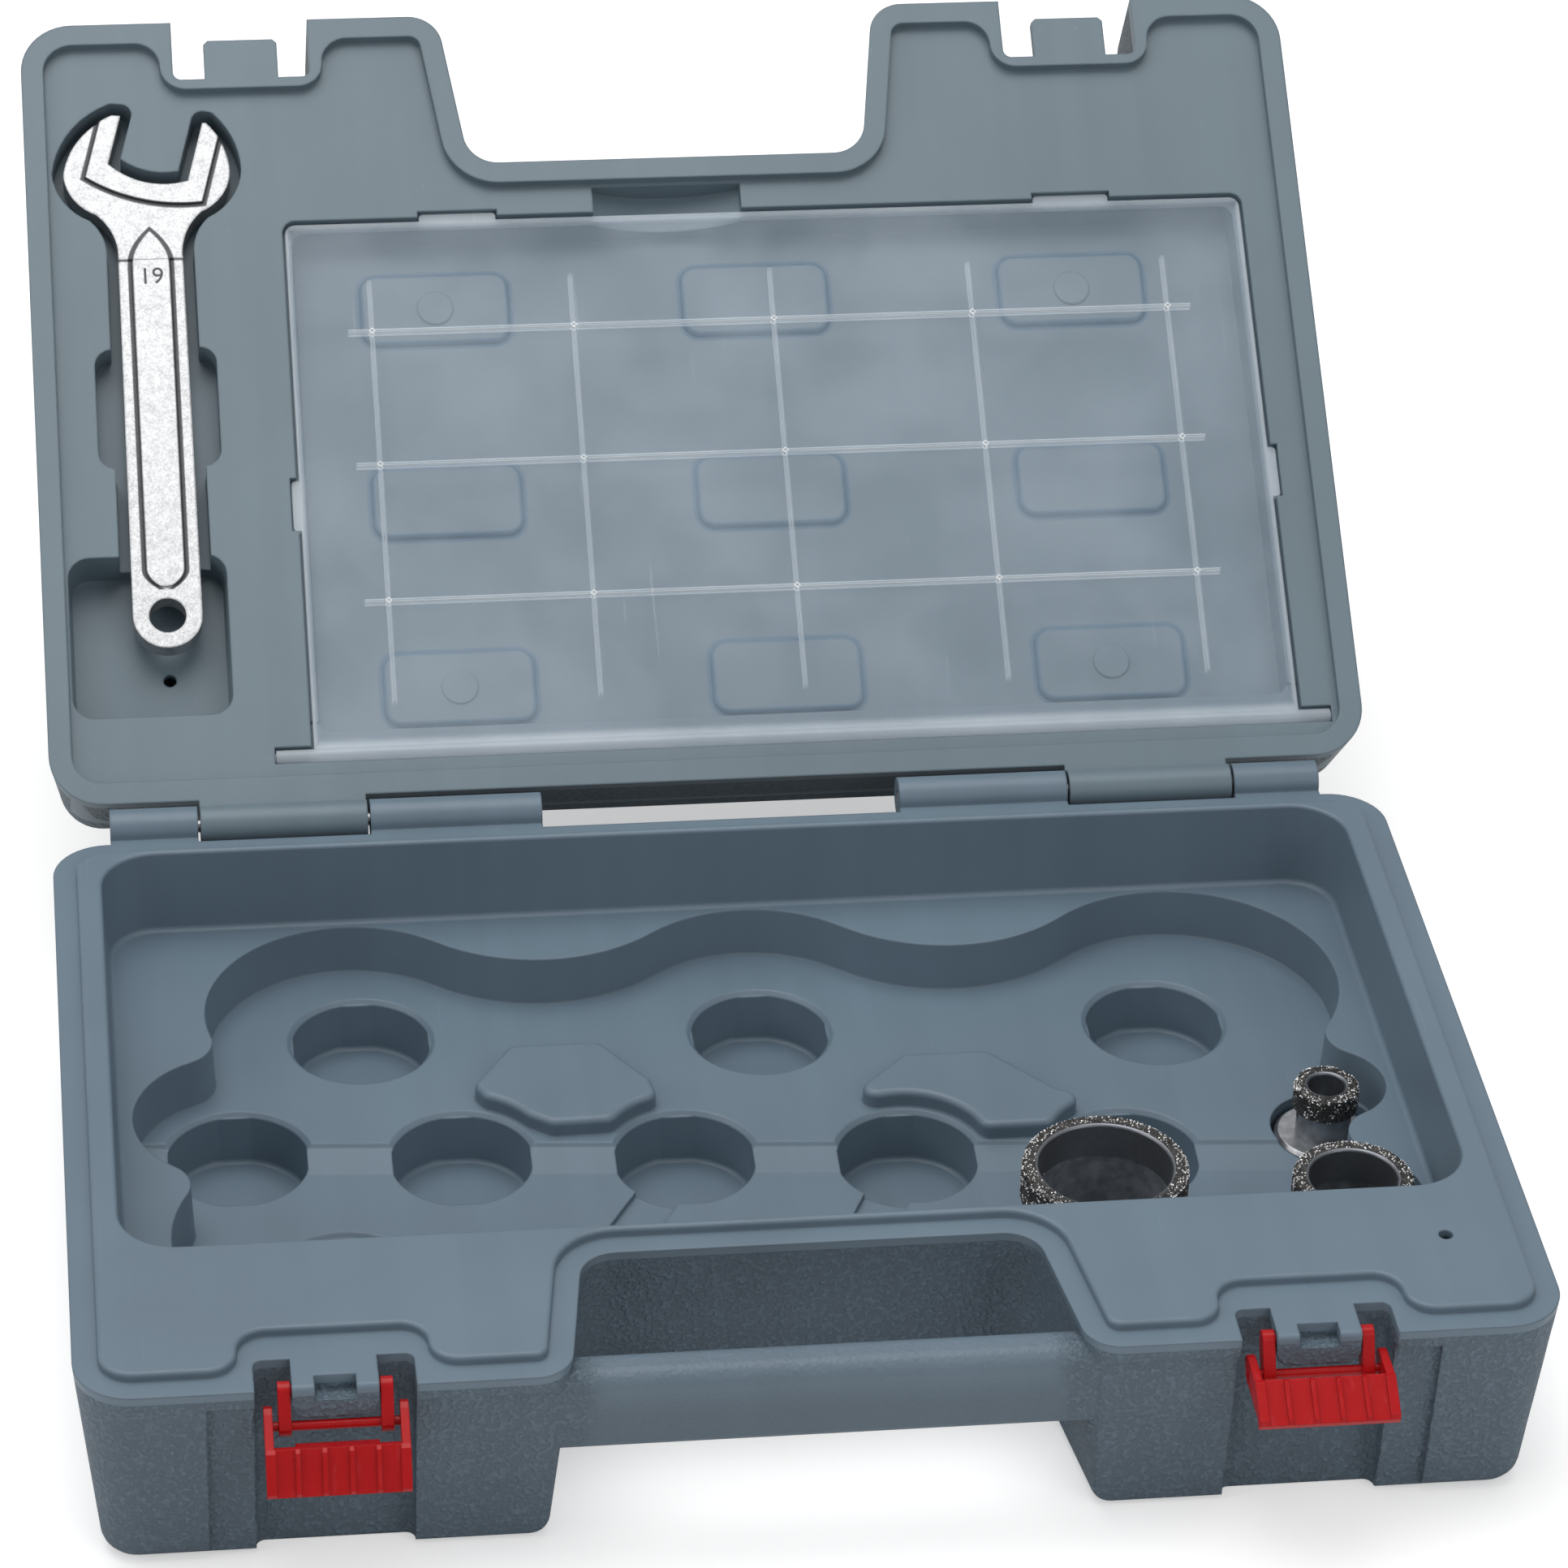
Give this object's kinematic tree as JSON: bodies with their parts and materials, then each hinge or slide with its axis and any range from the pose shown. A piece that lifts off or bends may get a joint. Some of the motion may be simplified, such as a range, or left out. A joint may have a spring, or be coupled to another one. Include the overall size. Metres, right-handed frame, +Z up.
{
  "type": "tool storage case",
  "caption": "Shallow double-walled plastic carrying case, open, with a tray of round wells, hole cutters, a spanner, a clear-covered bin and red latches.",
  "frame": {"origin": "centre of the outline of the case's underside, on the surface it lies on", "axes": "+X across the case to the right, +Y from the handle towards the hinge, +Z up; the lid stands open behind, leaning back"},
  "size_m": [0.3, 0.3905, 0.1648],
  "materials": {
    "grey_body": "grained outside, satin inside",
    "grey_lid": "grained outside, satin inside",
    "pin_steel": "plain wire",
    "red_latch": "semi-gloss",
    "clear_cover": "clear plastic with score lines",
    "spanner_steel": "satin chrome",
    "hub_steel": "turned",
    "cutter_steel": "turned, darkened",
    "diamond_grit": "sintered grit"
  },
  "bodies": {
    "base": {"base_shell": "grey_body", "hinge_pin_left": "pin_steel", "hinge_pin_right": "pin_steel"},
    "lid": {"lid_shell": "grey_lid"},
    "bin_cover": {"bin_cover": "clear_cover"},
    "spanner": {"spanner": "spanner_steel"},
    "latch_link_left": {"latch_link_left": "red_latch"},
    "latch_link_right": {"latch_link_right": "red_latch"},
    "latch_lever_left": {"latch_lever_left": "red_latch"},
    "latch_lever_right": {"latch_lever_right": "red_latch"},
    "large_cutter": {"large_cutter_hub": "hub_steel", "large_cutter_cup": "cutter_steel", "large_cutter_grit": "diamond_grit"},
    "medium_cutter": {"medium_cutter_hub": "hub_steel", "medium_cutter_cup": "cutter_steel", "medium_cutter_grit": "diamond_grit"},
    "small_cutter": {"small_cutter_hub": "hub_steel", "small_cutter_shank": "cutter_steel", "small_cutter_grit": "diamond_grit"}
  },
  "joints": [
    {"name": "lid_hinge", "type": "hinge", "parent": "base", "child": "lid", "pos_m": [0, 0.104, 0.04615], "axis": [-1, 0, 0], "range_deg": [-144, 0]},
    {"name": "bin_cover_hinge", "type": "hinge", "parent": "lid", "child": "bin_cover", "pos_m": [0, 0.12008, 0.05295], "axis": [1, 0, 0], "range_deg": [0, 110]},
    {"name": "spanner_lift", "type": "slide", "parent": "lid", "child": "spanner", "axis": [0, -0.5878, 0.809], "range_m": [0, 0.06]},
    {"name": "latch_link_left_hinge", "type": "hinge", "parent": "base", "child": "latch_link_left", "pos_m": [-0.0986, -0.0945, 0.0432], "axis": [1, 0, 0], "range_deg": [-175, 0]},
    {"name": "latch_link_right_hinge", "type": "hinge", "parent": "base", "child": "latch_link_right", "pos_m": [0.0986, -0.0945, 0.0432], "axis": [1, 0, 0], "range_deg": [-172, 0]},
    {"name": "latch_lever_left_hinge", "type": "hinge", "parent": "latch_link_left", "child": "latch_lever_left", "pos_m": [-0.0986, -0.0975, 0.03676], "axis": [-1, 0, 0], "range_deg": [-180, 0]},
    {"name": "latch_lever_right_hinge", "type": "hinge", "parent": "latch_link_right", "child": "latch_lever_right", "pos_m": [0.0986, -0.09783, 0.03693], "axis": [-1, 0, 0], "range_deg": [-210, 0]},
    {"name": "large_cutter_lift", "type": "slide", "parent": "base", "child": "large_cutter", "axis": [0, 0, 1], "range_m": [0, 0.06]},
    {"name": "medium_cutter_lift", "type": "slide", "parent": "base", "child": "medium_cutter", "axis": [0, 0, 1], "range_m": [0, 0.06]},
    {"name": "small_cutter_lift", "type": "slide", "parent": "base", "child": "small_cutter", "axis": [0, 0, 1], "range_m": [0, 0.05]}
  ],
  "couplings": [
    {"joint": "latch_lever_left_hinge", "follows": "latch_link_left_hinge", "ratio": 1.0286},
    {"joint": "latch_lever_right_hinge", "follows": "latch_link_right_hinge", "ratio": 1.2209}
  ]
}
